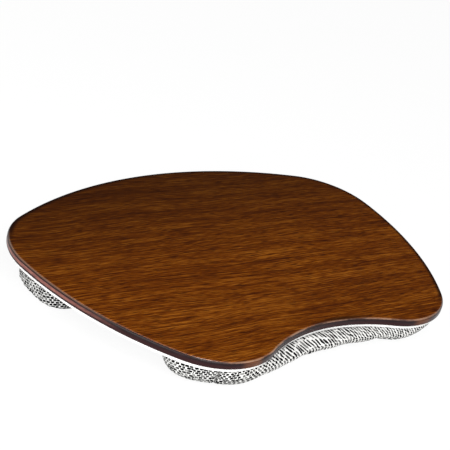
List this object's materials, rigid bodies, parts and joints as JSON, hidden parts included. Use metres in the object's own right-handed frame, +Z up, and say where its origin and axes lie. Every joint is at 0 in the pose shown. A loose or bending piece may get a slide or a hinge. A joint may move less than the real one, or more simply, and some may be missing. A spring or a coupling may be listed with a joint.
{
  "type": "lap desk",
  "caption": "Kidney-shaped walnut lap desk with a waisted front edge on a patterned cloth cushion of two stuffed bolsters with an open channel between them.",
  "frame": {"origin": "on the surface the bolsters rest on, under the middle of the tray's outline", "axes": "+Z up, +X to the user's right, -Y toward the user and the waisted edge"},
  "size_m": [0.57, 0.394, 0.05],
  "materials": {
    "walnut_veneer": "dark walnut stain under semi-gloss lacquer, grain left to right",
    "board_core": "fibreboard, edge stained near-black brown and lacquered",
    "white_panel": "plain white, satin",
    "dash_cloth": "off-white plain weave with rows of short black dashes",
    "fill": "loose white fibre",
    "screw_steel": "zinc plated"
  },
  "bodies": {
    "root": {"face_veneer": "walnut_veneer", "core_board": "board_core", "backing_veneer": "walnut_veneer", "base_panel": "white_panel", "panel_screws": "screw_steel", "front_bolster_fill": "fill", "rear_bolster_fill": "fill", "deck_cloth": "dash_cloth", "front_bolster_face": "dash_cloth", "front_bolster_inner_wall": "dash_cloth", "front_bolster_left_end": "dash_cloth", "front_bolster_right_end": "dash_cloth", "front_bolster_base": "dash_cloth", "rear_bolster_back": "dash_cloth", "rear_bolster_inner_wall": "dash_cloth", "rear_bolster_left_end": "dash_cloth", "rear_bolster_right_end": "dash_cloth", "rear_bolster_base": "dash_cloth"}
  },
  "joints": []
}
